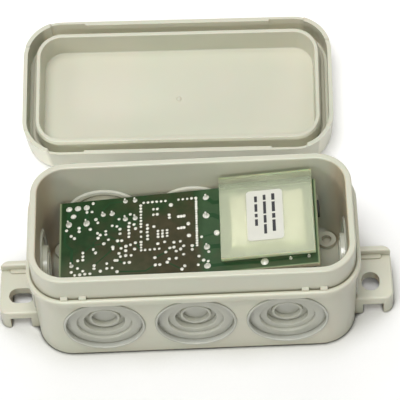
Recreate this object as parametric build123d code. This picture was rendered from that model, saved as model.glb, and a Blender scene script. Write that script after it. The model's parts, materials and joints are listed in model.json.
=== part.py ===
from build123d import *
import math
import os

# A weatherproof surface box with a radio receiver's circuit board in it, opened: the lid lies
# upside down behind the box, and the board sits loose in the box with its solder side up.
# Sizes are in millimetres and angles in degrees. The origin is the centre of the box's flat
# underside, X runs along the box, Y runs back towards the lid, and Z is up.

# The box's outside
rim_height = 36.2           # underside to the rim's top
rim_rise = 8.1              # ledge's top to the rim's top
lid_over_rim = 4.8          # rim's top to the lid's top when the lid is on
ledge_length = 93.0         # the ledge is what the lid's skirt lands on
ledge_width = 43.6
ledge_radius = 11.5
ledge_thickness = 2.3
rim_step = 1.5              # the ledge stands this far outside the rim
body_step = 1.05            # and this far outside the body below it
body_lean = 0.7             # the body's walls lean out as they rise
base_edge = 0.4
ledge_edge = 0.7            # rounding of the ledge's top and underside
ledge_under_edge = 0.3
ledge_groove = (0.45, 0.5)  # width and depth of the groove at the band's foot
rim_edge = 0.5

# The box's inside
rim_wall = 1.9
cavity_lean = 0.9
floor_thickness = 2.0
cavity_edge = 1.5
boss_radius = 2.7           # ring bosses on the floor, one near each corner
boss_bore = 1.4
boss_height = 1.4
boss_inset_x = 4.2          # from the cavity's end wall
boss_inset_y = 4.5          # from the cavity's side wall

# Stops on the rim, in pairs, that the lid's pockets go over
stop_width = 2.0
stop_height = 1.1
stop_proud = 0.6
stop_nose = 0.3             # height of a stop's outer face, below its sloping top
stop_insets = (10.8, 15.9)  # from the ledge's end to each stop of a pair

# Cable entries: soft stepped funnels in round holes
entry_height = 14.3
entry_pitch = 25.6
entries_a_side = 3
entry_hole = 9.6            # radius
entry_recess = 11.05        # radius and depth of the recess round the hole's outer end
entry_recess_depth = 1.5
entry_seat_wall = 2.0       # the wall is faced down to this round each hole
entry_gap = 0.05            # membrane to the wall that it grips
outer_bead = 11.4           # radius and height of the bead on the wall's outer face
outer_bead_width = 0.7
outer_bead_height = 0.5
inner_bead = 11.2           # radius and height of the bead on its inner face
inner_bead_height = 0.9
bead_relief = 0.6           # the lugs are cut back this far round the end entries
web = 0.8                   # thickness of the soft wall
funnel_rim_depth = 1.0      # where the funnel starts, inside the outer bead
funnel_steps = ((7.8, 0.8, 1.6), (5.8, 1.6, 3.1))   # radius, then depth outside and inside it
funnel_lip = (3.6, 4.25, 2.4)                       # radii and depth of the lip round the disc
funnel_disc = 3.7                                   # depth of the disc in the middle
disc_web = 0.5                                      # the disc is thin, to be pierced
funnel_draft = 0.15         # each step's wall moves in by this much

# Fixing lugs moulded on the box's ends
lug_out = 9.7               # past the ledge's end
lug_front = -10.6
lug_back = 6.2
lug_top = 7.2
lug_plate = 2.7
lug_rib_rise = 2.4          # the rib along the back stands this far above the plate
lug_rib_width = 1.9
lug_rib_edge = 0.6
lug_step_rise = 0.45        # a step in front of the rib, which ends short of the tip
lug_step_width = 1.3
lug_outer_leg = 2.8
lug_inner_leg = 2.3
lug_corner = 2.6
lug_edge = 0.6
slot_width = 5.1
slot_length_left = 7.4      # runs along X
slot_length_right = 6.3     # runs along Y
slot_from_tip = 6.3         # from the lug's tip to the slot's middle
slot_middle_y = -4.6

# Lid
lid_top = 2.0
lid_lean = 1.0
lid_edge = 2.0
skirt_wall = 1.2
skirt_relief = 0.5          # the skirt's straight edges stop this far above the ledge
tab_reach = 7.8             # full-depth tabs, from the lid's corner along each side
inner_skirt_gap = 0.2       # inner skirt to the rim's inner face
inner_skirt_wall = 1.5
inner_skirt_short = 0.5     # the inner skirt's edge stands this far short of the ledge
inner_skirt_edge = 0.2
inner_skirt_lead = 24.0     # its outer face slopes in by this angle near the edge
inner_skirt_lead_rise = 1.0
inner_skirt_lean = 1.5
ceiling_edge = 0.5
seal_height = 1.2
seal_gap = 0.15             # to the inner skirt
seal_outer_gap = 0.9        # to the outer skirt
seal_edge = 0.35
pocket_margin = 1.7         # the skirt is thinned over each pair of stops and this far past it
pocket_depth = 0.5
pocket_floor = 1.0          # above the groove's floor
gate_radius = 0.9
gate_height = 0.3
lid_x = -3.8                # where the lid lies, and how it is tipped and turned
lid_y = 65.6
lid_tip = 14.4
lid_turn = -1.4

# Circuit board, in its own frame: u along it, v towards the back, w up from its solder side
board_length = 73.5
board_left = -36.6          # the board's left end
board_width = 29.0
board_thickness = 1.6
board_x = -1.55
board_y = 2.5
seat_gap = 0.3              # feet to the box's floor

# Cover plate glued over the board's right end on a foam pad, with a blank label
plate_length = 26.2
plate_inset = 0.55          # how much narrower than the board it is, each side
plate_thickness = 1.5
plate_u = 23.0
plate_v = 0.8
foam_length = 20.2
foam_width = 17.4
foam_thickness = 3.15
foam_v = 0.1
label_length = 10.2
label_width = 16.9
label_thickness = 0.15
label_radius = 1.0
label_u = 22.6
label_v = 0.2

# Screw terminal plugged into a header under the right end, the board's right foot
pole_pitch = 5.08
poles = 4
terminal_end_wall = 0.5
terminal_v = 2.9
header_left = 25.8
header_depth = 8.6
header_height = 9.5
header_wall = 1.1
header_floor = 2.6
header_key_v = 5.9          # a key block stands past the board's end
header_key_width = 4.5
header_key_proud = 3.0
header_key_height = 2.2
plug_left = 25.0
plug_depth = 9.4
plug_overall = 23.5         # board to the plug's far face
plug_gap = 0.15
plug_nose = 6.0
plug_edge = 0.4
wire_hole = 3.6
wire_hole_depth = 6.6
wire_hole_middle = 4.2      # from the header's mouth
pin_hole = 1.5
screw_radius = 1.8
screw_gap = 0.1
screw_sunk = 0.8
screw_head = 1.2
screw_shank = 1.2
screw_slot = 0.6
clamp_side = 3.2
clamp_passage = 2.2
pin_side = 1.0
pin_length = 6.0

# Voltage regulator standing on its legs under the left end, the board's left foot
regulator_u = -31.35
regulator_v = 12.1
regulator_width = 10.0
regulator_front = 2.4       # legs to the case's front
regulator_back = 1.4        # legs to the tab's back
regulator_case_height = 9.0
regulator_tab = 1.3
regulator_hole = 1.8
regulator_hole_in = 2.9     # from the tab's end
regulator_overall = 17.6    # board to the tab's end
regulator_stand_off = 2.4
regulator_leg_pitch = 2.54
regulator_leg_width = 0.8
regulator_leg_thickness = 0.5

# Relay
relay_u = 14.1
relay_v = 0.3
relay_length = 20.7
relay_width = 16.5
relay_height = 19.0
relay_edge = 0.8

# Round capacitors: u, v, radius and height
large_capacitor = (-31.3, 5.6, 4.0, 16.5)
small_capacitor = (-22.0, -9.0, 3.15, 11.0)
can_crimp = 0.4
can_crimp_height = 2.2
can_edge = 0.6

# Radio section under its shield
shield_u = -5.15
shield_v = 3.8
shield_length = 15.9
shield_width = 16.5
shield_height = 3.0
shield_sheet = 0.3
shield_lap = 1.6
shield_hole = 0.9
shield_hole_pitch = 3.6
shield_holes_along = 4
shield_holes_across = 3
radio_chip_u = -6.9
radio_chip_v = 0.7
radio_chip_side = 7.0
radio_chip_height = 0.9

# Controller
controller_u = -21.0
controller_v = -0.2
controller_side = 7.0
controller_height = 1.1
controller_lift = 0.1
controller_legs_a_side = 8
controller_leg_pitch = 0.8
controller_leg_width = 0.35
controller_leg_length = 1.1
controller_leg_height = 0.7

# Programming button
button_u = -16.4
button_v = 10.0
button_side = 6.2
button_case_height = 3.5
button_radius = 1.75
button_gap = 0.1            # plunger to its bore
button_collar = 2.4
button_collar_height = 0.8
button_collar_gap = 0.05    # collar to the case's top at rest
button_case_top = 0.6
button_case_floor = 0.8
button_height = 7.0         # board to the plunger's end

# Lamp, crystal, rectifier and varistor
lamp_u = -22.6
lamp_v = 9.2
lamp_radius = 1.5
lamp_collar = 1.9
lamp_collar_height = 1.0
lamp_height = 5.2
lamp_round = 1.4
crystal_u = -12.6
crystal_v = -9.2
crystal_length = 11.0
crystal_width = 4.6
crystal_height = 3.6
crystal_flange = 0.4
rectifier_u = -32.0
rectifier_v = -8.6
rectifier_length = 6.4
rectifier_width = 8.4
rectifier_height = 3.3
rectifier_edge = 0.5
varistor_u = 31.4
varistor_v = -11.8
varistor_radius = 3.6
varistor_thickness = 3.4
varistor_edge = 1.0
varistor_stand_off = 1.2
varistor_leg_pitch = 5.0
varistor_leg = 0.3

# Chips in rows: length, width, height, pitch, and each row's first place and count
chip_resistor = (2.0, 1.25, 0.5)
chip_resistor_pitch = 2.6
chip_resistor_rows = ((-16.0, -12.9, 5), (-5.6, -5.6, 4))
chip_capacitor = (1.25, 2.0, 1.0)
chip_capacitor_pitch = 2.3
chip_capacitor_row = (-27.2, -5.2, 3)

# Loop antenna bent from stiff wire, along the board's front edge
antenna_right = 21.3
antenna_left = 0.0
antenna_v = -12.2
antenna_drop = 8.0
antenna_bend = 1.6
antenna_wire = 0.5


def run(height, lean):
    """How far a leaning wall moves out over a height."""
    return height * math.tan(math.radians(lean))


# Sizes that follow from those above
ledge_top = rim_height - rim_rise
ledge_bottom = ledge_top - ledge_thickness
body_inset = body_step + run(ledge_bottom, body_lean)
base_length = ledge_length - 2 * body_inset
base_width = ledge_width - 2 * body_inset
base_radius = ledge_radius - body_inset
rim_length = ledge_length - 2 * rim_step
rim_width = ledge_width - 2 * rim_step
rim_radius = ledge_radius - rim_step
mouth_length = rim_length - 2 * rim_wall
mouth_width = rim_width - 2 * rim_wall
mouth_radius = rim_radius - rim_wall
cavity_run = run(rim_height - floor_thickness, cavity_lean)
floor_length = mouth_length - 2 * cavity_run
floor_width = mouth_width - 2 * cavity_run
floor_radius = mouth_radius - cavity_run
lid_depth = rim_rise + lid_over_rim
groove_floor = lid_over_rim - seal_height
relieved_edge = lid_depth - skirt_relief
inner_skirt_end = lid_depth - inner_skirt_short
inner_skirt_length = mouth_length - 2 * inner_skirt_gap
inner_skirt_width = mouth_width - 2 * inner_skirt_gap
inner_skirt_radius = mouth_radius - inner_skirt_gap
lug_reach = ledge_length / 2 + lug_out
slot_middle_x = lug_reach - slot_from_tip
stop_places = [ledge_length / 2 - inset for inset in stop_insets]
pocket_start = min(stop_places) - stop_width / 2 - pocket_margin
pocket_end = max(stop_places) + stop_width / 2 + pocket_margin
plate_width = board_width - 2 * plate_inset
under = -board_thickness
header_mouth = under - header_height
plug_face = under - plug_overall
terminal_half = poles * pole_pitch / 2 + terminal_end_wall
pole_places = [terminal_v + (i - (poles - 1) / 2) * pole_pitch for i in range(poles)]
wire_level = header_mouth - wire_hole_middle
screw_u = plug_left + plug_depth / 2


def slab(length, width, radius, low, high, lean=0.0):
    """An upright block with rounded corners between two heights, its walls leaning out."""
    plan = Pos(0, 0, low) * RectangleRounded(length, width, radius)
    return extrude(plan, high - low, taper=-lean)


def block(low_x, high_x, low_y, high_y, low_z, high_z):
    """A box between six limits."""
    size = (high_x - low_x, high_y - low_y, high_z - low_z)
    middle = ((low_x + high_x) / 2, (low_y + high_y) / 2, (low_z + high_z) / 2)
    return Pos(*middle) * Box(*size)


def post(x, y, radius, low_z, high_z):
    """An upright cylinder."""
    return Pos(x, y, (low_z + high_z) / 2) * Cylinder(radius, high_z - low_z)


def edges_at(shape, height):
    """The edges that lie level at a height."""
    near = 0.01
    return [edge for edge in shape.edges()
            if abs(edge.bounding_box().min.Z - height) < near
            and abs(edge.bounding_box().max.Z - height) < near]


def wall_place(turn, along, base_half):
    """A place on an outer wall at the height of the entries, with Z pointing out of the wall."""
    out = base_half + run(entry_height, body_lean)
    return Rot(0, 0, turn) * Pos(along, -out, entry_height) * Rot(90 + body_lean, 0, 0)


def entry_places():
    """Each cable entry's name and place: along the front and back, and one in each end."""
    places = {}
    for i in range(entries_a_side):
        along = (i - (entries_a_side - 1) / 2) * entry_pitch
        places[f"membrane_front_{i + 1}"] = wall_place(0, along, base_width / 2)
        places[f"membrane_back_{i + 1}"] = wall_place(180, -along, base_width / 2)
    places["membrane_left"] = wall_place(-90, 0, base_length / 2)
    places["membrane_right"] = wall_place(90, 0, base_length / 2)
    return places


def lug(slot):
    """A fixing lug on the right end, hollow underneath, with a rib along its back."""
    root = base_length / 2 - base_radius
    hollow = base_length / 2 + lug_inner_leg
    rib_top = lug_top + lug_rib_rise
    rib_front = lug_back - lug_rib_width
    leg = lug_reach - lug_outer_leg
    body = block(root, lug_reach, lug_front, lug_back, 0, rib_top)
    outer = [edge for edge in body.edges().filter_by(Axis.Z) if edge.center().X > leg]
    body = fillet(outer, lug_corner)
    body -= block(root, lug_reach, lug_front, rib_front, lug_top, rib_top)
    body -= block(hollow, leg, lug_front, rib_front, 0, lug_top - lug_plate)
    body = fillet([edge for edge in edges_at(body, rib_top) if edge.center().X > root], lug_rib_edge)
    rims = [edge for edge in edges_at(body, lug_top)
            if edge.center().Y < rib_front - lug_edge and edge.center().X > root]
    body = fillet(rims, lug_edge)
    step = block(root, leg, rib_front - lug_step_width, rib_front, lug_top, lug_top + lug_step_rise)
    corner = step.edges().filter_by(Axis.Z).sort_by(Axis.X)[-2:].sort_by(Axis.Y)[0]
    body += fillet(corner, lug_step_width / 2)
    return body - extrude(Pos(slot_middle_x, slot_middle_y) * slot, rib_top)


def rim_stops():
    """Small stops on the band above the ledge, in pairs near both ends of the front and back."""
    root = -rim_wall / 2
    foot = -ledge_groove[1]
    outline = Polyline((0, root, foot), (0, stop_proud, foot), (0, stop_proud, stop_nose),
                       (0, 0, stop_height), (0, root, stop_height), close=True)
    stop = extrude(make_face(outline), stop_width / 2, both=True)
    return [Rot(0, 0, turn) * Pos(side * x, rim_width / 2, ledge_top) * stop
            for turn in (0, 180) for side in (-1, 1) for x in stop_places]


def box_body():
    """The box, open at the top, with its lugs and the holes of its cable entries."""
    body = slab(base_length, base_width, base_radius, 0, ledge_bottom, body_lean)
    body = fillet(edges_at(body, 0), base_edge)
    body += lug(SlotOverall(slot_length_right, slot_width, rotation=90))
    body += mirror(lug(SlotOverall(slot_length_left, slot_width)), Plane.YZ)
    ledge = slab(ledge_length, ledge_width, ledge_radius, ledge_bottom, ledge_top)
    ledge = fillet(edges_at(ledge, ledge_top), ledge_edge)
    body += fillet(edges_at(ledge, ledge_bottom), ledge_under_edge)
    groove_width, groove_depth = ledge_groove
    body -= slab(rim_length + 2 * groove_width, rim_width + 2 * groove_width,
                 rim_radius + groove_width, ledge_top - groove_depth, ledge_top)
    body += slab(rim_length, rim_width, rim_radius, ledge_bottom, rim_height)
    cavity = slab(floor_length, floor_width, floor_radius, floor_thickness, rim_height,
                  cavity_lean)
    body -= fillet(edges_at(cavity, floor_thickness), cavity_edge)
    body = fillet(edges_at(body, rim_height), rim_edge)
    body += rim_stops()
    ring = Circle(boss_radius) - Circle(boss_bore)
    for x in (-1, 1):
        for y in (-1, 1):
            middle = Pos(x * (floor_length / 2 - boss_inset_x),
                         y * (floor_width / 2 - boss_inset_y), floor_thickness)
            body += extrude(middle * ring, boss_height)
    hole = post(0, 0, entry_hole, -3 * entry_seat_wall, bead_relief)
    hole += post(0, 0, entry_recess, -entry_recess_depth, bead_relief)
    facing = post(0, 0, inner_bead, -3 * entry_seat_wall, -entry_seat_wall)
    relief = post(0, 0, outer_bead + entry_gap, 0, bead_relief)
    for name, place in entry_places().items():
        body -= [place * hole, place * facing]
        if name in ("membrane_left", "membrane_right"):
            body -= place * relief
    return body


def bead(inner, outer, foot, height):
    """Points of a rounded bead's section, from its inner edge over its crown to its outer one."""
    top = foot + height
    quarter = (outer - inner) / 4
    return [(inner, foot + height / 2), (inner + quarter, top), (outer - quarter, top),
            (outer, foot + height / 2), (outer, foot)]


def membrane():
    """A stepped soft funnel that grips the wall between its flange and a bead, facing +Z."""
    (step, step_high, step_low), (gutter, gutter_high, gutter_low) = funnel_steps
    lip_inner, lip_outer, lip_depth = funnel_lip
    bead_inner = outer_bead - outer_bead_width
    flange = entry_recess - entry_gap
    flange_foot = entry_gap - entry_recess_depth
    barrel = entry_hole - entry_gap
    seat = -entry_seat_wall
    draft = funnel_draft
    outside = [(0, -funnel_disc), (lip_inner - draft, -funnel_disc), (lip_inner, -lip_depth),
               (lip_outer, -lip_depth), (lip_outer + draft, -gutter_low),
               (gutter - draft, -gutter_low), (gutter, -gutter_high), (step - draft, -step_low),
               (step, -step_high), (bead_inner, -funnel_rim_depth)]
    outside += bead(bead_inner, outer_bead, 0, outer_bead_height)
    through = [(flange, 0), (flange, flange_foot), (barrel, flange_foot), (barrel, seat)]
    ring = [(r, -z) for r, z in reversed(bead(barrel - web, inner_bead, -seat, inner_bead_height))]
    inside = [(barrel - web, -funnel_rim_depth - web), (step + web - draft, -step_high - web),
              (step + web - 2 * draft, -step_low - web), (gutter + web - draft, -gutter_high - web),
              (gutter + web - 2 * draft, -gutter_low - web), (lip_outer + draft, -gutter_low - web),
              (lip_outer - draft, -funnel_disc - disc_web), (0, -funnel_disc - disc_web)]
    section = Polyline(*[(r, 0, z) for r, z in outside + through + ring + inside], close=True)
    return revolve(make_face(section), Axis.Z)


def lid_place():
    """Where the lid lies: tipped on its rounded front edge, which touches the ground."""
    tip = math.radians(lid_tip)
    half_top = ledge_width / 2 - run(lid_depth, lid_lean)
    flat = half_top - lid_edge / math.tan(math.radians((90 + lid_lean) / 2))
    lift = flat * math.sin(tip) + lid_edge * (1 - math.cos(tip))
    return Pos(lid_x, lid_y, lift) * Rot(0, 0, lid_turn) * Rot(lid_tip, 0, 0)


def relief(length, width):
    """A strip with sloping ends that takes the skirt's edge down between two corner tabs."""
    half = length / 2
    over = 1
    outline = Polyline((-half + skirt_relief, 0, relieved_edge),
                       (half - skirt_relief, 0, relieved_edge),
                       (half + over, 0, lid_depth + over), (-half - over, 0, lid_depth + over),
                       close=True)
    return extrude(make_face(outline), width / 2 + over, both=True)


def lid_shell():
    """The lid upside down, its flat top at Z 0 and its two skirts pointing up."""
    inset = run(lid_depth, lid_lean)
    shell = slab(ledge_length - 2 * inset, ledge_width - 2 * inset, ledge_radius - inset,
                 0, lid_depth, lid_lean)
    shell = fillet(edges_at(shell, 0), lid_edge)
    shell -= relief(ledge_length - 2 * tab_reach, ledge_width)
    shell -= Rot(0, 0, 90) * relief(ledge_width - 2 * tab_reach, ledge_length)
    shell -= slab(ledge_length - 2 * skirt_wall, ledge_width - 2 * skirt_wall,
                  ledge_radius - skirt_wall, groove_floor, lid_depth)
    thin = skirt_wall - pocket_depth
    pocket_low = groove_floor + pocket_floor
    pockets = slab(ledge_length - 2 * thin, ledge_width - 2 * thin, ledge_radius - thin,
                   pocket_low, lid_depth)
    for start, end in ((-pocket_end, -pocket_start), (pocket_start, pocket_end)):
        shell -= pockets & block(start, end, -ledge_width, ledge_width, pocket_low, lid_depth)
    inset = inner_skirt_wall + run(inner_skirt_end - lid_top, inner_skirt_lean)
    inside = slab(inner_skirt_length - 2 * inset, inner_skirt_width - 2 * inset,
                  inner_skirt_radius - inset, lid_top, inner_skirt_end, inner_skirt_lean)
    lead_foot = inner_skirt_end - inner_skirt_lead_rise
    inner_skirt = slab(inner_skirt_length, inner_skirt_width, inner_skirt_radius,
                       groove_floor, lead_foot)
    inner_skirt += slab(inner_skirt_length, inner_skirt_width, inner_skirt_radius,
                        lead_foot, inner_skirt_end, -inner_skirt_lead)
    inner_skirt -= inside
    shell -= fillet(edges_at(inside, lid_top), ceiling_edge)
    shell += fillet(edges_at(inner_skirt, inner_skirt_end), inner_skirt_edge)
    return shell + Pos(0, 0, lid_top) * Cone(gate_radius, gate_radius / 2, gate_height,
                                             align=(Align.CENTER, Align.CENTER, Align.MIN))


def lid_seal():
    """A soft ring on the floor of the lid's groove, which the rim presses into."""
    face = skirt_wall + seal_outer_gap
    ring = slab(ledge_length - 2 * face, ledge_width - 2 * face, ledge_radius - face,
                groove_floor, groove_floor + seal_height)
    ring -= slab(inner_skirt_length + 2 * seal_gap, inner_skirt_width + 2 * seal_gap,
                 inner_skirt_radius + seal_gap, groove_floor, groove_floor + seal_height)
    return chamfer(edges_at(ring, groove_floor + seal_height), seal_edge)


def board_place():
    """Where the board lies: on the ends of its two feet, the right one the taller."""
    left_u = regulator_u - regulator_width / 2
    left_drop = board_thickness + regulator_overall
    right_drop = board_thickness + plug_overall
    rise = math.atan2(right_drop - left_drop, plug_left - left_u)
    lift = floor_thickness + seat_gap + right_drop * math.cos(rise) - plug_left * math.sin(rise)
    return Pos(board_x, board_y, lift) * Rot(0, -math.degrees(rise), 0)


def board_and_plate():
    """The bare board, and the plate, foam pad and blank label over its right end."""
    board_right, half_w = board_left + board_length, board_width / 2
    plate_under = foam_thickness
    plate = Pos(plate_u, plate_v, plate_under) * Rectangle(plate_length, plate_width)
    foam = Pos(plate_u, foam_v, 0) * Rectangle(foam_length, foam_width)
    label = Pos(label_u, label_v, plate_under + plate_thickness) * RectangleRounded(
        label_length, label_width, label_radius)
    return {
        "main_board": block(board_left, board_right, -half_w, half_w, under, 0),
        "cover_plate": extrude(plate, plate_thickness),
        "foam_pad": extrude(foam, foam_thickness),
        "plate_label": extrude(label, label_thickness),
    }


def terminal():
    """The pin header, its pins, and the plug with its screws and wire clamps."""
    low_v, high_v = terminal_v - terminal_half, terminal_v + terminal_half
    header_right = header_left + header_depth
    header = block(header_left, header_right, low_v, high_v, header_mouth, under)
    header += block(header_right, header_right + header_key_proud,
                    header_key_v - header_key_width / 2, header_key_v + header_key_width / 2,
                    under - header_key_height, under)
    header -= block(header_left + header_wall, header_right - header_wall,
                    low_v + header_wall, high_v - header_wall,
                    header_mouth, under - header_floor)
    plug_right = plug_left + plug_depth
    plug = block(plug_left, plug_right, low_v, high_v, plug_face, header_mouth)
    plug = chamfer(edges_at(plug, plug_face), plug_edge)
    nose = header_wall + plug_gap
    plug += block(header_left + nose, header_right - nose, low_v + nose, high_v - nose,
                  header_mouth, header_mouth + plug_nose)
    half_wire, half_pin, half_clamp = wire_hole / 2, pin_hole / 2, clamp_side / 2
    passage = clamp_passage / 2
    chamber_end = plug_right - wire_hole_depth
    clamp_top = wire_level + half_clamp
    screw_top = plug_face + screw_sunk + screw_head
    pins, screws, clamps = [], [], []
    for v in pole_places:
        plug -= block(chamber_end, plug_right, v - half_wire, v + half_wire,
                      wire_level - half_wire, wire_level + half_wire)
        plug -= post(screw_u, v, screw_radius + screw_gap, plug_face, wire_level)
        plug -= block(header_left + header_depth / 2 - half_pin,
                      header_left + header_depth / 2 + half_pin, v - half_pin, v + half_pin,
                      header_mouth, header_mouth + plug_nose)
        pins.append(block(header_left + (header_depth - pin_side) / 2,
                          header_left + (header_depth + pin_side) / 2,
                          v - pin_side / 2, v + pin_side / 2,
                          under - header_floor - pin_length, under - header_floor))
        clamp = block(screw_u - half_clamp, screw_u + half_clamp, v - half_clamp, v + half_clamp,
                      wire_level - half_clamp, clamp_top)
        clamps.append(clamp - block(screw_u - half_clamp, screw_u + half_clamp,
                                    v - passage, v + passage,
                                    wire_level - passage, wire_level + passage))
        screw = post(screw_u, v, screw_radius, plug_face + screw_sunk, screw_top)
        screw += post(screw_u, v, screw_shank, screw_top, wire_level - half_clamp)
        screws.append(screw - block(screw_u - screw_radius, screw_u + screw_radius,
                                    v - screw_slot / 2, v + screw_slot / 2,
                                    plug_face + screw_sunk, plug_face + screw_sunk + screw_slot))
    return {
        "terminal_header": header,
        "header_pins": pins,
        "terminal_plug": plug,
        "terminal_screws": screws,
        "wire_clamps": clamps,
    }


def regulator():
    """A voltage regulator on three legs, with its metal tab reaching past the case."""
    left = regulator_u - regulator_width / 2
    right = regulator_u + regulator_width / 2
    tab_back = regulator_v + regulator_back
    tab_front = tab_back - regulator_tab
    case_start = under - regulator_stand_off
    case_end = case_start - regulator_case_height
    tab_end = under - regulator_overall
    case = block(left, right, regulator_v - regulator_front, tab_front, case_end, case_start)
    tab = block(left, right, tab_front, tab_back, tab_end, case_start)
    hole = Pos(regulator_u, tab_back, tab_end + regulator_hole_in) * Rot(90, 0, 0) * Cylinder(
        regulator_hole, 4 * regulator_tab)
    half_w, half_t = regulator_leg_width / 2, regulator_leg_thickness / 2
    legs = [block(u - half_w, u + half_w, regulator_v - half_t, regulator_v + half_t,
                  case_start, under)
            for u in (regulator_u + i * regulator_leg_pitch for i in (-1, 0, 1))]
    return {"regulator_case": case, "regulator_tab": tab - hole, "regulator_legs": legs}


def capacitor(u, v, radius, height):
    """A round can standing on the board, crimped near its foot and rounded at its far end."""
    crimp = -can_crimp_height
    outline = Polyline((0, 0, 0), (radius, 0, 0), (radius, 0, crimp + can_crimp),
                       (radius - can_crimp, 0, crimp), (radius, 0, crimp - can_crimp),
                       (radius, 0, can_edge - height), (radius - can_edge, 0, -height),
                       (0, 0, -height), close=True)
    return Pos(u, v, under) * revolve(make_face(outline), Axis.Z)


def relay():
    """The relay's moulded case."""
    half_l, half_w = relay_length / 2, relay_width / 2
    end = under - relay_height
    case = block(relay_u - half_l, relay_u + half_l, relay_v - half_w, relay_v + half_w,
                 end, under)
    case = fillet(case.edges().filter_by(Axis.Z), relay_edge)
    return chamfer(edges_at(case, end), relay_edge / 2)


def radio_section():
    """The shield's soldered frame, its clipped cover with holes, and the chip inside."""
    def sheet(outer_inset, inner_inset, low, high):
        outer = Rectangle(shield_length - 2 * outer_inset, shield_width - 2 * outer_inset)
        inner = Rectangle(shield_length - 2 * inner_inset, shield_width - 2 * inner_inset)
        return extrude(Pos(shield_u, shield_v, low) * (outer - inner), high - low)

    top = under - shield_height
    frame = sheet(shield_sheet, 2 * shield_sheet, top + shield_sheet, under)
    cover = sheet(0, shield_sheet, top, top + shield_lap)
    lid = Rectangle(shield_length, shield_width)
    lid -= GridLocations(shield_hole_pitch, shield_hole_pitch, shield_holes_along,
                         shield_holes_across) * Circle(shield_hole)
    cover += extrude(Pos(shield_u, shield_v, top) * lid, shield_sheet)
    half = radio_chip_side / 2
    chip = block(radio_chip_u - half, radio_chip_u + half, radio_chip_v - half,
                 radio_chip_v + half, under - radio_chip_height, under)
    return {"shield_frame": frame, "shield_cover": cover, "radio_chip": chip}


def controller():
    """A square chip with a row of legs on each side."""
    half = controller_side / 2
    high = under - controller_lift
    case = block(controller_u - half, controller_u + half, controller_v - half,
                 controller_v + half, high - controller_height, high)
    leg = block(half, half + controller_leg_length, -controller_leg_width / 2,
                controller_leg_width / 2, under - controller_leg_height, under)
    legs = []
    for turn in (0, 90, 180, 270):
        for i in range(controller_legs_a_side):
            along = (i - (controller_legs_a_side - 1) / 2) * controller_leg_pitch
            legs.append(Pos(controller_u, controller_v, 0) * Rot(0, 0, turn)
                        * Pos(0, along, 0) * leg)
    return {"controller": case, "controller_legs": legs}


def button():
    """The push button's case and the plunger that slides in it."""
    half = button_side / 2
    end = under - button_case_height
    chamber = end + button_case_top
    case = block(button_u - half, button_u + half, button_v - half, button_v + half, end, under)
    case -= post(button_u, button_v, button_radius + button_gap, end, chamber)
    case -= post(button_u, button_v, button_collar + button_gap, chamber,
                 under - button_case_floor)
    collar = chamber + button_collar_gap
    plunger = post(button_u, button_v, button_radius, under - button_height, collar)
    plunger += post(button_u, button_v, button_collar, collar, collar + button_collar_height)
    return {"button_case": case, "button_plunger": plunger}


def lamp():
    """A small round-ended lamp on a collar."""
    end = under - lamp_height
    dome = post(lamp_u, lamp_v, lamp_radius, end, under)
    dome = fillet(edges_at(dome, end), lamp_round)
    return dome + post(lamp_u, lamp_v, lamp_collar, under - lamp_collar_height, under)


def crystal():
    """A low can with rounded ends on a thin flange."""
    can = SlotOverall(crystal_length, crystal_width)
    flange = SlotOverall(crystal_length + 2 * crystal_flange, crystal_width + 2 * crystal_flange)
    body = extrude(Pos(crystal_u, crystal_v, under) * can, -crystal_height)
    return body + extrude(Pos(crystal_u, crystal_v, under) * flange, -crystal_flange)


def rectifier():
    """A low four-legged block; only its case shows."""
    half_l, half_w = rectifier_length / 2, rectifier_width / 2
    end = under - rectifier_height
    case = block(rectifier_u - half_l, rectifier_u + half_l, rectifier_v - half_w,
                 rectifier_v + half_w, end, under)
    return chamfer(edges_at(case, end), rectifier_edge)


def varistor():
    """A coated disc standing on two legs."""
    level = under - varistor_stand_off - varistor_radius
    disc = chamfer(Cylinder(varistor_radius, varistor_thickness).edges(), varistor_edge)
    disc = Pos(varistor_u, varistor_v, level) * Rot(90, 0, 0) * disc
    for side in (-1, 1):
        disc += post(varistor_u + side * varistor_leg_pitch / 2, varistor_v, varistor_leg,
                     level, under)
    return disc


def chips():
    """Rows of chip resistors and capacitors."""
    length, width, height = chip_resistor
    resistors = [Pos(u + i * chip_resistor_pitch, v, under - height / 2)
                 * Box(length, width, height)
                 for u, v, count in chip_resistor_rows for i in range(count)]
    length, width, height = chip_capacitor
    u, v, count = chip_capacitor_row
    capacitors = [Pos(u, v + i * chip_capacitor_pitch, under - height / 2)
                  * Box(length, width, height) for i in range(count)]
    return {"chip_resistors": resistors, "chip_capacitors": capacitors}


def antenna():
    """A bow of stiff wire, both ends square on the board."""
    low = under - antenna_drop
    path = FilletPolyline((antenna_right, antenna_v, under), (antenna_right, antenna_v, low),
                          (antenna_left, antenna_v, low), (antenna_left, antenna_v, under),
                          radius=antenna_bend)
    section = Pos(antenna_right, antenna_v, under) * Circle(antenna_wire)
    return sweep(section, path)


def board_parts():
    """Everything on the board, in the board's own frame."""
    parts = board_and_plate()
    parts |= terminal()
    parts |= regulator()
    parts |= radio_section()
    parts |= controller()
    parts |= button()
    parts |= chips()
    parts["relay"] = relay()
    parts["capacitor_large"] = capacitor(*large_capacitor)
    parts["capacitor_small"] = capacitor(*small_capacitor)
    parts["signal_lamp"] = lamp()
    parts["crystal"] = crystal()
    parts["rectifier"] = rectifier()
    parts["varistor"] = varistor()
    parts["loop_antenna"] = antenna()
    return parts


def save(name, shape, place=Location()):
    """Write a node, one solid or a group of separate solids, at its place."""
    solids = shape if isinstance(shape, list) else [shape]
    moved = [place * solid for part in solids for solid in part.solids()]
    export_step(moved[0] if len(moved) == 1 else Compound(children=moved), f"parts/{name}.step")


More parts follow.
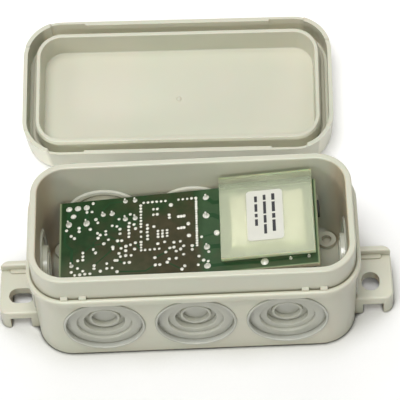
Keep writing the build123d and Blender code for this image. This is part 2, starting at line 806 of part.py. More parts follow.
def main():
    os.makedirs("parts", exist_ok=True)
    save("box_body", box_body())
    funnel = membrane()
    for name, place in entry_places().items():
        save(name, funnel, place)
    save("lid_shell", lid_shell(), lid_place())
    save("lid_seal", lid_seal(), lid_place())
    for name, shape in board_parts().items():
        save(name, shape, board_place())


main()
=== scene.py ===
import json
import math
import random

import bmesh
import bpy
from mathutils import Matrix, Vector


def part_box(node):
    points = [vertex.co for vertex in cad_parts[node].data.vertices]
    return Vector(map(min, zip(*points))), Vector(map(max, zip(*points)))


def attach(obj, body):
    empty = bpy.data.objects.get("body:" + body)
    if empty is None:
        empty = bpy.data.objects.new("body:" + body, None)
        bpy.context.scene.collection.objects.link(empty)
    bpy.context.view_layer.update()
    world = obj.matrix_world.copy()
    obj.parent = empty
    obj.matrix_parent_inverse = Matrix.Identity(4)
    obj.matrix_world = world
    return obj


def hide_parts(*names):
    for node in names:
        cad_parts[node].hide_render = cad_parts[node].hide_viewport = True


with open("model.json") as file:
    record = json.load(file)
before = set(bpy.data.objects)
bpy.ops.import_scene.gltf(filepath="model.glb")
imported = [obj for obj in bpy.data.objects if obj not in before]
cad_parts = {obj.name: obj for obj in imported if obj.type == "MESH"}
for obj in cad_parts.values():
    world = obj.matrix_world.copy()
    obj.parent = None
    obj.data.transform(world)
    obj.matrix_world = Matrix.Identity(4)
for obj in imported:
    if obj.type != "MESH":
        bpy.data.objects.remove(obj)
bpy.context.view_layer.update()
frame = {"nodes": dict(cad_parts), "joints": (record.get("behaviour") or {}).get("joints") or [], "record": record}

MM = 0.001
dice = random.Random(7)

# Camera: its place, lens and sensor in millimetres, its angles in degrees
CAMERA_PLACE = (16.5, -355.9, 533.8)
CAMERA_DROP = 53.99     # below level
CAMERA_YAW = 2.2
CAMERA_ROLL = -4.2
CAMERA_LENS = 199.1
CAMERA_SENSOR = 36.0

# Millimetres along the board to its middle, from the point that its parts are placed by
BOARD_MIDDLE = 0.15

# Colours, as linear light
WHITE = (1.0, 1.0, 1.0)
HOUSING = (0.66, 0.655, 0.545)
SKIRT_PAINTED_LIGHT = (0.95, 0.94, 0.78)          # painted light on the lid's thin skirts where they face forward
SOFT = (0.53, 0.535, 0.46)
# painted glow on the entries' inner sides, for light that comes through the thin plastic
SOFT_INSIDE_PAINTED_GLOW = (0.84, 0.84, 0.68)
SOLDER = (0.90, 0.89, 0.81)
PLATE = (0.91, 0.95, 0.75)
# painted glow on the sheet's cut edges
PLATE_CUT_GLOW = (0.74, 0.83, 0.56)
FOAM = (0.98, 0.94, 0.82)
LABEL = (0.72, 0.72, 0.64)
INK = (0.035, 0.035, 0.04)
TRACK_GREEN = (0.014, 0.060, 0.018)
LACQUER = ((0.012, 0.040, 0.010), (0.022, 0.060, 0.018))    # darker and lighter patches
OVER_COPPER = ((0.040, 0.040, 0.016), (0.066, 0.055, 0.026))
# painted sheen on the lacquer
LACQUER_PAINTED_SHEEN = (0.13, 0.22, 0.12)
# the pale rim of the cut edges: bare laminate, and a painted highlight
LACQUER_RIM_AND_HIGHLIGHT = (0.34, 0.40, 0.24)
GLASS_WEAVE = ((0.44, 0.40, 0.26), (0.70, 0.64, 0.48))
PAPER = ((0.965, 0.965, 0.96), (0.98, 0.98, 0.975))
AMBIENT = (1.0, 0.97, 0.92)

# Painted shade: what some places leave of the colour that they lie on
CREASE_PAINTED_SHADE = (0.52, 0.50, 0.42)
SHELTERED_PAINTED_SHADE = (0.80, 0.79, 0.76)      # painted shade in corners wider than a crease
SOFT_PAINTED_SHADE = (0.50, 0.49, 0.44)
CAVITY_END_PAINTED_SHADE = (1.0, 0.86, 0.76)
PAPER_PAINTED_SHADOW = (0.66, 0.66, 0.62)    # painted shadow on the paper close to the box
PAPER_PAINTED_CONTACT_SHADOW = (0.10, 0.10, 0.09)   # painted contact shadow on the paper at the box's foot

# The paper as a source of light for the object, in front and behind
BOUNCE_FRONT = (0.55, 0.55, 0.53)
BOUNCE_BACK = (0.95, 0.95, 0.93)

NOISE_LOW, NOISE_HIGH = 0.3, 0.7    # most of a noise's values lie between these
NOISE_ROUGHNESS = 0.55
AO_SAMPLES = 8
FLAT = 0.9                          # a normal whose Z is past this counts as upright

# The numbers of a Mix node's colour sockets, and of its factor
MIX_FACTOR, MIX_FIRST, MIX_SECOND, MIX_RESULT = 0, 6, 7, 2


# Frames of the tilted pieces, worked out from the model

def board_frame():
    """The board's place, from a point near the middle of its solder side, and its three sizes."""
    press = next(j for j in frame["joints"] if j["name"] == "button_press")
    up = Vector(press["axis"]).normalized()
    along = Vector((up.z, 0, -up.x))
    low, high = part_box("main_board")
    spread = high - low
    width = spread.y
    flat = along.x ** 2 - along.z ** 2
    length = (spread.x * along.x - spread.z * along.z) / flat
    thickness = (spread.z * along.x - spread.x * along.z) / flat
    middle = (low + high) / 2 + up * thickness / 2 - along * BOARD_MIDDLE * MM
    place = Matrix((along, Vector((0, 1, 0)), up)).transposed().to_4x4()
    return Matrix.Translation(middle) @ place, length, width, thickness


def lid_underside():
    """A point on the flat face that the lid lies on, and that face's normal."""
    mesh = frame["nodes"]["lid_shell"].data
    down = [p for p in mesh.polygons if p.normal.z < -FLAT]
    face = max(down, key=lambda p: p.area)
    return face.center.copy(), face.normal.copy()


def lid_uphill():
    """The direction that the lid rises in, and where the lid starts and ends along that."""
    normal = lid_underside()[1]
    uphill = Vector((0, -normal.z, normal.y)).normalized()
    places = [v.co.dot(uphill) for v in frame["nodes"]["lid_shell"].data.vertices]
    return uphill, min(places), max(places)


BOARD, BOARD_LENGTH, BOARD_WIDTH, BOARD_THICKNESS = board_frame()


# Mesh helpers

def new_object(name, bm, materials, body, place=Matrix.Identity(4), replaces=()):
    """Turn a bmesh into a piece that rides on a body."""
    mesh = bpy.data.meshes.new(name)
    bm.normal_update()
    bm.to_mesh(mesh)
    bm.free()
    for material in materials:
        mesh.materials.append(material)
    piece = bpy.data.objects.new(name, mesh)
    bpy.context.scene.collection.objects.link(piece)
    piece.matrix_world = place
    if body:
        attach(piece, body)
    if replaces:
        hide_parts(*replaces)
    return piece


def soften(bm, degrees):
    """Smooth shading, with edges sharper than an angle left sharp."""
    limit = math.radians(degrees)
    for face in bm.faces:
        face.smooth = True
    for edge in bm.edges:
        edge.smooth = len(edge.link_faces) == 2 and edge.calc_face_angle(0) < limit


def add_block(bm, low, high, edge=0.0):
    """A box between two corners with rounded edges."""
    made = bmesh.ops.create_cube(bm, size=1)
    size = [h - l for l, h in zip(low, high)]
    middle = [(l + h) / 2 for l, h in zip(low, high)]
    for vert in made["verts"]:
        vert.co = Vector(c * s + m for c, s, m in zip(vert.co, size, middle))
    if edge:
        edges = list({e for v in made["verts"] for e in v.link_edges})
        bmesh.ops.bevel(bm, geom=edges, offset=edge, segments=2, profile=0.5, affect="EDGES")


def mark_sides(bm):
    """Give the second material to all but the top and the underside."""
    for face in bm.faces:
        face.material_index = 0 if abs(face.normal.z) > FLAT else 1


def add_revolved(bm, x, y, profile, squeeze, turn):
    """A turned shape on an upright axis, from radii and heights that start on the axis.

    It is squeezed in one direction, and then turned by an angle."""
    segments = 20
    rings = []
    for radius, height in profile:
        if radius == 0:
            rings.append([bm.verts.new((x, y, height))])
            continue
        ring = []
        for i in range(segments):
            angle = 2 * math.pi * i / segments
            a, b = radius * math.cos(angle), radius * squeeze * math.sin(angle)
            ring.append(bm.verts.new((x + a * math.cos(turn) - b * math.sin(turn),
                                      y + a * math.sin(turn) + b * math.cos(turn), height)))
        rings.append(ring)
    for lower, upper in zip(rings, rings[1:]):
        for i in range(segments):
            j = (i + 1) % segments
            corners = [lower[i % len(lower)], lower[j % len(lower)],
                       upper[j % len(upper)], upper[i % len(upper)]]
            kept = [v for k, v in enumerate(corners) if v not in corners[:k]]
            if len(kept) > 2:
                bm.faces.new(kept)


MITRE_LIMIT = 0.5       # keeps a track's sharp corners from reaching far out


def add_strip(bm, points, width, height, base):
    """A flat track of even width along a line of points, its ends square."""
    half = width / 2
    sides = []
    for i, point in enumerate(points):
        before = Vector(points[max(i - 1, 0)])
        after = Vector(points[min(i + 1, len(points) - 1)])
        here = Vector(point)
        first = (here - before).normalized() if i else (after - here).normalized()
        second = (after - here).normalized() if i < len(points) - 1 else first
        middle = (first + second).normalized()
        across = Vector((-middle.y, middle.x))
        reach = half / max(across.dot(Vector((-first.y, first.x))), MITRE_LIMIT)
        sides.append((here + across * reach, here - across * reach))
    tops = [[bm.verts.new((p.x, p.y, base + height)) for p in pair] for pair in sides]
    feet = [[bm.verts.new((p.x, p.y, base)) for p in pair] for pair in sides]
    for i in range(len(points) - 1):
        bm.faces.new((tops[i][0], tops[i][1], tops[i + 1][1], tops[i + 1][0]))
        bm.faces.new((feet[i][0], tops[i][0], tops[i + 1][0], feet[i + 1][0]))
        bm.faces.new((tops[i][1], feet[i][1], feet[i + 1][1], tops[i + 1][1]))
        bm.faces.new((feet[i][1], feet[i][0], feet[i + 1][0], feet[i + 1][1]))
    bm.faces.new((feet[0][1], tops[0][1], tops[0][0], feet[0][0]))
    bm.faces.new((tops[-1][0], tops[-1][1], feet[-1][1], feet[-1][0]))


# Materials

class Shader:
    """A material's node tree, with the few kinds of node that these materials need."""

    def __init__(self, name, colour, roughness, **sockets):
        self.material = bpy.data.materials.new(name)
        self.material.use_nodes = True
        self.tree = self.material.node_tree
        self.shader = self.tree.nodes["Principled BSDF"]
        self.set("Base Color", (*colour, 1))
        self.set("Roughness", roughness)
        for socket, value in sockets.items():
            self.set(socket.replace("_", " "), value)
        coordinates = self.tree.nodes.new("ShaderNodeTexCoord").outputs
        self.place, self.facing = coordinates["Object"], coordinates["Normal"]

    def set(self, socket, value):
        """Fix one of the material's own values."""
        self.shader.inputs[socket].default_value = value

    def link(self, output, socket):
        """Let a node's output set one of the material's own values."""
        self.tree.links.new(output, self.shader.inputs[socket])

    def node(self, kind, inputs=(), **settings):
        """A new node; each input is a socket to link or a fixed value."""
        node = self.tree.nodes.new(kind)
        for key, value in settings.items():
            setattr(node, key, value)
        for key, value in dict(inputs).items():
            if isinstance(value, bpy.types.NodeSocket):
                self.tree.links.new(value, node.inputs[key])
            else:
                node.inputs[key].default_value = value
        return node

    def axes(self, vector):
        """A vector's X, Y and Z."""
        parts = self.node("ShaderNodeSeparateXYZ", {"Vector": vector}).outputs
        return parts["X"], parts["Y"], parts["Z"]

    def noise(self, size_mm, detail=3.0, stretch=(1, 1, 1)):
        """Noise whose features are about this many millimetres across."""
        scaled = self.node("ShaderNodeMapping", {"Vector": self.place, "Scale": stretch})
        return self.node("ShaderNodeTexNoise",
                         {"Vector": scaled.outputs[0], "Scale": 1 / (size_mm * MM), "Detail": detail,
                          "Roughness": NOISE_ROUGHNESS}).outputs["Fac"]

    def ramp(self, factor, *stops):
        """Colours blended over a factor; each stop is a place and a colour."""
        node = self.node("ShaderNodeValToRGB", {"Fac": factor})
        elements = node.color_ramp.elements
        while len(elements) < len(stops):
            elements.new(0.5)
        for element, (place, colour) in zip(elements, stops):
            element.position = place
            element.color = (*colour, 1)
        return node.outputs["Color"]

    def spread(self, factor, low, high, start=NOISE_LOW, end=NOISE_HIGH):
        """The factor mapped to low and high from the range between start and end."""
        return self.node("ShaderNodeMapRange", {"Value": factor, "From Min": start, "From Max": end,
                                                "To Min": low, "To Max": high}).outputs["Result"]

    def between(self, distance, span_mm, low=0.0, high=1.0):
        """A number that goes from low to high over a span of places."""
        return self.spread(distance, low, high, span_mm[0] * MM, span_mm[1] * MM)

    def mix(self, factor, first, second, blend="MIX"):
        """Two colours blended; each is a socket or a fixed colour."""
        first, second = ((*c, 1) if isinstance(c, tuple) else c for c in (first, second))
        inputs = {MIX_FACTOR: factor, MIX_FIRST: first, MIX_SECOND: second}
        node = self.node("ShaderNodeMix", inputs, data_type="RGBA", blend_type=blend)
        return node.outputs[MIX_RESULT]

    def multiply(self, first, second):
        """Two colours multiplied."""
        return self.mix(1.0, first, second, "MULTIPLY")

    def math(self, operation, first, *others):
        """An operation on one number, or worked through several in turn."""
        for other in others or (0.0,):
            first = self.node("ShaderNodeMath", {0: first, 1: other}, operation=operation).outputs[0]
        return first

    def bump(self, height, depth_mm, strength=1.0, under=None):
        """A relief of a depth, which may lie on top of another."""
        inputs = {"Height": height, "Distance": depth_mm * MM, "Strength": strength}
        if under is not None:
            inputs["Normal"] = under
        return self.node("ShaderNodeBump", inputs).outputs["Normal"]

    def openness(self, reach_mm):
        """How much of the sky above a point is free within a reach."""
        inputs = {"Distance": reach_mm * MM}
        return self.node("ShaderNodeAmbientOcclusion", inputs, samples=AO_SAMPLES).outputs["AO"]

    def painted_crease_shade(self, colour, reach_mm, shade, low, high):
        """A colour with painted shade, darker in grooves and corners narrower than a reach.

        The shade is full where the free share of the sky is under low, and gone where it is over high."""
        return self.multiply(colour, self.ramp(self.openness(reach_mm), (low, shade), (high, WHITE)))

    def patches(self, size_mm, first, second, detail=3.0):
        """Two colours that take turns over the surface."""
        return self.ramp(self.noise(size_mm, detail), (NOISE_LOW, first), (NOISE_HIGH, second))

    def drift(self, colour, size_mm, amount):
        """A colour drifting lighter and darker over the surface."""
        dark = tuple(c * (1 - amount) for c in colour)
        light = tuple(min(1.0, c * (1 + amount)) for c in colour)
        return self.patches(size_mm, dark, light)

    def vary(self, colour, size_mm, amount):
        """Give the material a drifting colour."""
        self.link(self.drift(colour, size_mm, amount), "Base Color")


def moulded(name, colour, roughness, grain=0.35, depth=0.006, drift=0.03, **sockets):
    """Moulded plastic: slow drift of colour, a fine grain and patches of more polish."""
    shader = Shader(name, colour, roughness, **sockets)
    shader.vary(colour, size_mm=22, amount=drift)
    polish = shader.spread(shader.noise(size_mm=6), low=roughness - 0.05, high=roughness + 0.06)
    shader.link(polish, "Roughness")
    fine = shader.bump(shader.noise(grain, detail=2), depth)
    waves = shader.noise(size_mm=5, detail=2)
    shader.link(shader.bump(waves, depth_mm=0.02, strength=0.5, under=fine), "Normal")
    return shader.material


def metal(name, colour, roughness, stretch=(1, 1, 1)):
    """Plated metal with fine drawn marks and slight tarnish."""
    shader = Shader(name, colour, roughness, Metallic=1.0)
    shader.vary(colour, size_mm=2.5, amount=0.06)
    tarnish = shader.spread(shader.noise(size_mm=0.5, stretch=stretch), low=roughness - 0.08,
                            high=roughness + 0.12)
    shader.link(tarnish, "Roughness")
    marks = shader.noise(size_mm=0.35, stretch=stretch)
    shader.link(shader.bump(marks, depth_mm=0.006), "Normal")
    return shader.material


# Where the housing's painted shade and painted light change, in millimetres. The model's origin is under the box's
# middle.
END_WALLS = (30, 40)            # from the middle to the cavity's short walls
FACES_IN = (-34, -14)           # place times facing along the box, on faces that look to its middle
BOX_TO_LID = 24                 # the box ends in front of this, and the lid starts behind it
BACK_SKIRT = (-3.2, -2.6)       # from the lid's upper end
FRONT_SKIRT_STARTS = (2.2, 2.6)     # from the lid's lower end
FRONT_SKIRT_ENDS = (7.0, 8.0)
LOOKS_FORWARD = (-0.9, -0.5)    # the Y of a face's normal


def cavity_ends(shader, plain):
    """The short walls of the cavity are browner, because little light gets past the board's ends."""
    along, across, _ = shader.axes(shader.place)
    facing_along = shader.axes(shader.facing)[0]
    inward = shader.between(shader.math("MULTIPLY", along, facing_along), FACES_IN, 1, 0)
    near_end = shader.between(shader.math("ABSOLUTE", along), END_WALLS)
    in_box = shader.math("LESS_THAN", across, BOX_TO_LID * MM)
    shaded = shader.math("MULTIPLY", inward, near_end, in_box)
    # Painted shade on the cavity's short walls
    return shader.multiply(plain, shader.ramp(shaded, (0, WHITE), (1, CAVITY_END_PAINTED_SHADE)))


def skirts_painted_light(shader):
    """Where painted light goes: 1 on the faces of the lid's thin skirts that look forward in the groove, and 0
    elsewhere.
    """
    uphill, start, end = lid_uphill()
    up_lid = shader.node("ShaderNodeVectorMath", {0: shader.place, 1: uphill},
                         operation="DOT_PRODUCT").outputs["Value"]
    from_start = shader.math("SUBTRACT", up_lid, start)
    from_end = shader.math("SUBTRACT", up_lid, end)
    at_front = shader.math("MULTIPLY", shader.between(from_start, FRONT_SKIRT_STARTS),
                           shader.between(from_start, FRONT_SKIRT_ENDS, 1, 0))
    on_skirt = shader.math("MAXIMUM", shader.between(from_end, BACK_SKIRT), at_front)
    facing_across = shader.axes(shader.facing)[1]
    return shader.math("MULTIPLY", on_skirt, shader.spread(facing_across, 1, 0, *LOOKS_FORWARD))


def housing_material():
    """Grey-green moulded plastic, with painted shade in the box's grooves, corners and cavity ends, and painted
    light on the lid's skirts that face forward.
    """
    shader = Shader("housing", HOUSING, 0.3, Specular_IOR_Level=0.5, Subsurface_Weight=0.1,
                    Subsurface_Scale=0.001)
    green = tuple(c * s for c, s in zip(HOUSING, (0.97, 1.0, 0.97)))
    warm = tuple(c * s for c, s in zip(HOUSING, (1.03, 1.01, 1.0)))
    plain = cavity_ends(shader, shader.patches(26, green, warm, detail=2))
    # Painted shade in wide corners and in narrow creases
    wide_painted_shade = shader.painted_crease_shade(plain, 9, SHELTERED_PAINTED_SHADE, low=0.35, high=0.85)
    box_painted_shade = shader.painted_crease_shade(wide_painted_shade, 1.5, CREASE_PAINTED_SHADE, low=0.3, high=0.75)
    # Painted light on the lid's skirts that face forward
    lid_with_painted_light = shader.mix(skirts_painted_light(shader), plain, SKIRT_PAINTED_LIGHT)
    on_lid = shader.math("GREATER_THAN", shader.axes(shader.place)[1], BOX_TO_LID * MM)
    shader.link(shader.mix(on_lid, box_painted_shade, lid_with_painted_light), "Base Color")
    shader.link(shader.spread(shader.noise(11, detail=1), 0.285, 0.32, 0, 1), "Roughness")
    grain = shader.bump(shader.noise(0.3, detail=2), depth_mm=0.002)
    waves = shader.noise(9, detail=1)
    shader.link(shader.bump(waves, depth_mm=0.03, strength=0.5, under=grain), "Normal")
    return shader.material


FRONT_AND_BACK = 15             # entries farther than this from the middle face front or back
ENTRY_INSIDE = (-6, -2)         # place times facing, in millimetres, on an entry's inner side


def soft_material():
    """Soft plastic, thin enough for some light to come through, with painted shade in its grooves outside and a
    painted glow inside.
    """
    shader = Shader("membrane", SOFT, 0.25, Specular_IOR_Level=0.5, Subsurface_Weight=0.5,
                    Subsurface_Scale=0.003, Subsurface_Radius=(1.0, 0.95, 0.8))
    place, facing = shader.axes(shader.place), shader.axes(shader.facing)
    along, across = (shader.math("MULTIPLY", place[k], facing[k]) for k in (0, 1))
    on_side = shader.math("GREATER_THAN", shader.math("ABSOLUTE", place[1]), FRONT_AND_BACK * MM)
    turned = shader.node("ShaderNodeMix", {"Factor": on_side, "A": along, "B": across}).outputs["Result"]
    # Painted shade in the grooves outside
    outside = shader.painted_crease_shade(shader.drift(SOFT, 9, 0.03), 1.4, SOFT_PAINTED_SHADE, low=0.3, high=0.75)
    # A painted glow on the inner side, for the light that comes through
    inside = shader.between(turned, ENTRY_INSIDE, 1, 0)
    shader.link(shader.mix(inside, outside, SOFT_INSIDE_PAINTED_GLOW), "Base Color")
    shader.link(shader.spread(shader.noise(3, detail=1), 0.12, 0.2, 0, 1), "Roughness")
    shader.link(shader.bump(shader.noise(0.5, detail=2), depth_mm=0.004), "Normal")
    return shader.material


# Where the lacquer changes, in millimetres along the board and towards its back. Copper lies under
# more of it to the right and to the front, and under none of it by the sheet.
COPPER_ALONG = (-34, -8)
COPPER_ACROSS = (-12, 12)
BY_SHEET = (2, 5)
# Where a painted sheen lies on the lacquer, by its left front
SHEEN_ALONG = (-28, -6)
SHEEN_ACROSS = (-13.5, -3)
RIM_AT_ENDS = (-0.7, -0.3)      # from the board's ends
RIM_IN_FRONT = (-0.5, -0.2)     # from its front edge


def lacquer_colour(shader, along, across, by_sheet):
    """Green, or brown where copper lies under it, with a painted sheen by the left front and by the sheet."""
    copper = shader.math("ADD", shader.between(along, COPPER_ALONG, 0, 0.75),
                         shader.between(across, COPPER_ACROSS, 0.55, -0.35),
                         shader.spread(shader.noise(7, detail=2), -0.35, 0.35))
    copper = shader.math("SUBTRACT", copper, by_sheet)
    green = shader.patches(3, *LACQUER)
    brown = shader.patches(2.2, *OVER_COPPER)
    lacquer = shader.mix(shader.spread(copper, 0, 1, 0.15, 0.75), green, brown)
    in_front = shader.between(across, SHEEN_ACROSS, 0.35, 0)
    at_left = shader.between(along, SHEEN_ALONG, 1, 0)
    # Painted sheen by the left front and by the sheet
    painted_sheen = shader.math("MAXIMUM", shader.math("MULTIPLY", in_front, at_left),
                       shader.math("MULTIPLY", by_sheet, 0.22))
    return shader.mix(painted_sheen, lacquer, LACQUER_PAINTED_SHEEN)


def mask_material():
    """The board's lacquer, mottled, and paler along the cut edges: bare laminate there, and a painted highlight.
    """
    shader = Shader("circuit_board", LACQUER[1], 0.3, Specular_IOR_Level=0.3)
    along, across, _ = shader.axes(shader.place)
    lacquer = lacquer_colour(shader, along, across, shader.between(along, BY_SHEET))
    from_middle = shader.math("ABSOLUTE", shader.math("SUBTRACT", along, BOARD_MIDDLE * MM))
    past_ends = shader.math("SUBTRACT", from_middle, BOARD_LENGTH / 2)
    past_front = shader.math("SUBTRACT", shader.math("MULTIPLY", across, -1.0), BOARD_WIDTH / 2)
    # The pale rim along the cut edges, partly a painted highlight
    rim_and_highlight = shader.math("MAXIMUM", shader.between(past_ends, RIM_AT_ENDS, 0, 0.75),
                      shader.between(past_front, RIM_IN_FRONT, 0, 0.75))
    shader.link(shader.mix(rim_and_highlight, lacquer, LACQUER_RIM_AND_HIGHLIGHT), "Base Color")
    shader.link(shader.bump(shader.noise(0.8), depth_mm=0.006), "Normal")
    return shader.material


def track_material():
    """Darker green lacquer where it runs over a track."""
    shader = Shader("board_track", TRACK_GREEN, 0.28, Specular_IOR_Level=0.3)
    shader.vary(TRACK_GREEN, size_mm=4, amount=0.2)
    shader.link(shader.bump(shader.noise(0.6, detail=2), depth_mm=0.005), "Normal")
    return shader.material


def laminate_material():
    """The board's cut edge: pale glass weave in resin."""
    shader = Shader("board_edge", GLASS_WEAVE[0], 0.6)
    weave = shader.noise(0.35, stretch=(0.3, 0.3, 4))
    shader.link(shader.ramp(weave, (0.35, GLASS_WEAVE[0]), (0.65, GLASS_WEAVE[1])), "Base Color")
    shader.link(shader.bump(weave, depth_mm=0.03), "Normal")
    return shader.material


def solder_material(name, metallic, roughness):
    """Pale solder, its polish uneven."""
    shader = Shader(name, SOLDER, roughness, Metallic=metallic)
    shader.vary(SOLDER, size_mm=0.5, amount=0.1)
    shader.link(shader.spread(shader.noise(0.4), roughness - 0.06, roughness + 0.12), "Roughness")
    shader.link(shader.bump(shader.noise(0.45), depth_mm=0.012), "Normal")
    return shader.material


CLEAR_BAND = (8.5, 12.5)        # towards the back, from the middle of the board


def plate_material():
    """Milky green sheet that lets some light through, clearer towards its back edge."""
    shader = Shader("plate", PLATE, 0.2, IOR=1.35, Specular_IOR_Level=0.4)
    shader.vary(PLATE, size_mm=12, amount=0.03)
    across = shader.axes(shader.place)[1]
    shader.link(shader.between(across, CLEAR_BAND, 0.66, 0.84), "Transmission Weight")
    shader.link(shader.bump(shader.noise(2.5, detail=2), depth_mm=0.002), "Normal")
    return shader.material


def plate_edge_material():
    """The sheet's cut edges, painted pale with a glow of the light that the sheet gathers."""
    shader = Shader("plate_edge", PLATE_CUT_GLOW, 0.5, Subsurface_Weight=0.4, Subsurface_Scale=0.001)
    shader.vary(PLATE_CUT_GLOW, size_mm=2, amount=0.05)
    shader.link(shader.bump(shader.noise(0.3, stretch=(1, 1, 4)), depth_mm=0.01), "Normal")
    return shader.material


def foam_material():
    """Pale foam with open cells."""
    shader = Shader("foam", FOAM, 0.9, Sheen_Weight=0.2)
    cell = 0.35 * MM
    cells = shader.node("ShaderNodeTexVoronoi", {"Vector": shader.place, "Scale": 1 / cell})
    shader.vary(FOAM, size_mm=3, amount=0.02)
    shader.link(shader.bump(cells.outputs["Distance"], depth_mm=0.08, strength=0.8), "Normal")
    return shader.material


def label_material():
    """The label's paper, its fibres lying along the board."""
    shader = Shader("label", LABEL, 0.55)
    shader.vary(LABEL, size_mm=4, amount=0.02)
    fibre = shader.noise(0.25, detail=4, stretch=(1, 3, 1))
    shader.link(shader.bump(fibre, depth_mm=0.006), "Normal")
    return shader.material


# Plain plastics: colour, roughness, and what differs from the usual
PLASTICS = {
    "seal": ((0.58, 0.56, 0.45), 0.6, {"drift": 0.05}),
    "header": ((0.02, 0.02, 0.021), 0.4, {"drift": 0.1}),
    "plug": ((0.035, 0.27, 0.10), 0.38, {"drift": 0.06}),
    "chip": ((0.022, 0.022, 0.024), 0.5, {"grain": 0.2, "drift": 0.15}),
    "relay": ((0.02, 0.045, 0.11), 0.3, {"drift": 0.06}),
    "sleeve": ((0.012, 0.018, 0.035), 0.28, {"drift": 0.12, "Coat_Weight": 0.3}),
    "button_case": ((0.02, 0.02, 0.02), 0.45, {"drift": 0.1}),
    "button_plunger": ((0.30, 0.035, 0.02), 0.4, {"drift": 0.06}),
    "lamp": ((0.55, 0.02, 0.015), 0.12, {"grain": 1.5, "depth": 0.001, "Transmission_Weight": 0.6}),
    "varistor": ((0.02, 0.07, 0.22), 0.35, {"grain": 0.8, "depth": 0.02}),
    "chip_capacitor": ((0.36, 0.24, 0.13), 0.5, {"grain": 0.3, "drift": 0.1}),
    "label_ink": (INK, 0.5, {}),
}

# Plain metals: colour, roughness, and how finely their marks are packed along each axis
METALS = {
    "pin": ((0.78, 0.77, 0.73), 0.25, (1, 1, 4)),
    "screw": ((0.74, 0.74, 0.72), 0.3, (1, 1, 1)),
    "clamp": ((0.74, 0.72, 0.66), 0.32, (1, 1, 1)),
    "tab": ((0.72, 0.73, 0.74), 0.38, (4, 1, 1)),
    "shield": ((0.80, 0.80, 0.79), 0.28, (3, 1, 1)),
    "antenna": ((0.75, 0.38, 0.17), 0.28, (1, 1, 1)),
}

MATERIALS = {name: moulded(name, colour, roughness, **rest)
             for name, (colour, roughness, rest) in PLASTICS.items()}
MATERIALS |= {name: metal(name, *values) for name, values in METALS.items()}
MATERIALS |= {
    "housing": housing_material(),
    "membrane": soft_material(),
    "circuit_board": mask_material(),
    "board_track": track_material(),
    "board_edge": laminate_material(),
    "solder": solder_material("solder", 0.2, 0.3),
    "soldered_lead": solder_material("soldered_lead", 0.15, 0.2),
    "plate": plate_material(),
    "plate_edge": plate_edge_material(),
    "foam": foam_material(),
    "label": label_material(),
}


def paint_nodes():
    """Give every carried-over node its material."""
    for part in frame["record"]["subparts"]:
        node = frame["nodes"][part["node"]]
        for slot in node.material_slots:
            slot.material = MATERIALS[part["material_slot"]]


# The board and what is on its solder side, in millimetres. Places are u along the board and v towards
# the back, from the point near its middle that its parts are placed by.

# Large joints: u, v, pad radius and how far the lead stands up, which is 0 where none shows
JOINTS = (
    (-33.9, 12.1, 1.0, 0.5), (-31.35, 12.1, 1.0, 0.5), (-28.8, 12.1, 1.0, 0.6),
    (-33.9, 6.7, 1.1, 1.5), (-28.8, 6.6, 1.15, 1.6), (-32.6, 9.4, 0.85, 0.0),
    (-24.0, 9.1, 0.8, 0.9), (-21.4, 9.1, 0.85, 0.9),
    (-17.6, 13.0, 0.75, 0.9), (-14.8, 13.0, 0.75, 0.9), (-17.6, 6.8, 0.8, 1.3), (-14.8, 6.8, 0.8, 1.3),
    (5.6, 11.6, 1.0, 1.1), (5.5, 5.3, 1.1, 1.3), (8.4, -1.0, 0.95, 0.0), (5.5, -5.5, 1.0, 1.2),
    (5.5, -11.9, 1.05, 0.7), (-33.0, -7.6, 0.7, 1.3), (21.5, -12.3, 1.25, 0.4),
    (28.8, -12.0, 0.55, 0.3), (33.9, -11.8, 0.55, 0.3), (-4.5, 10.2, 0.65, 0.0),
    (0.4, 3.1, 0.62, 0.0), (0.5, -1.0, 0.65, 0.0), (-23.8, -1.0, 0.55, 0.0),
)

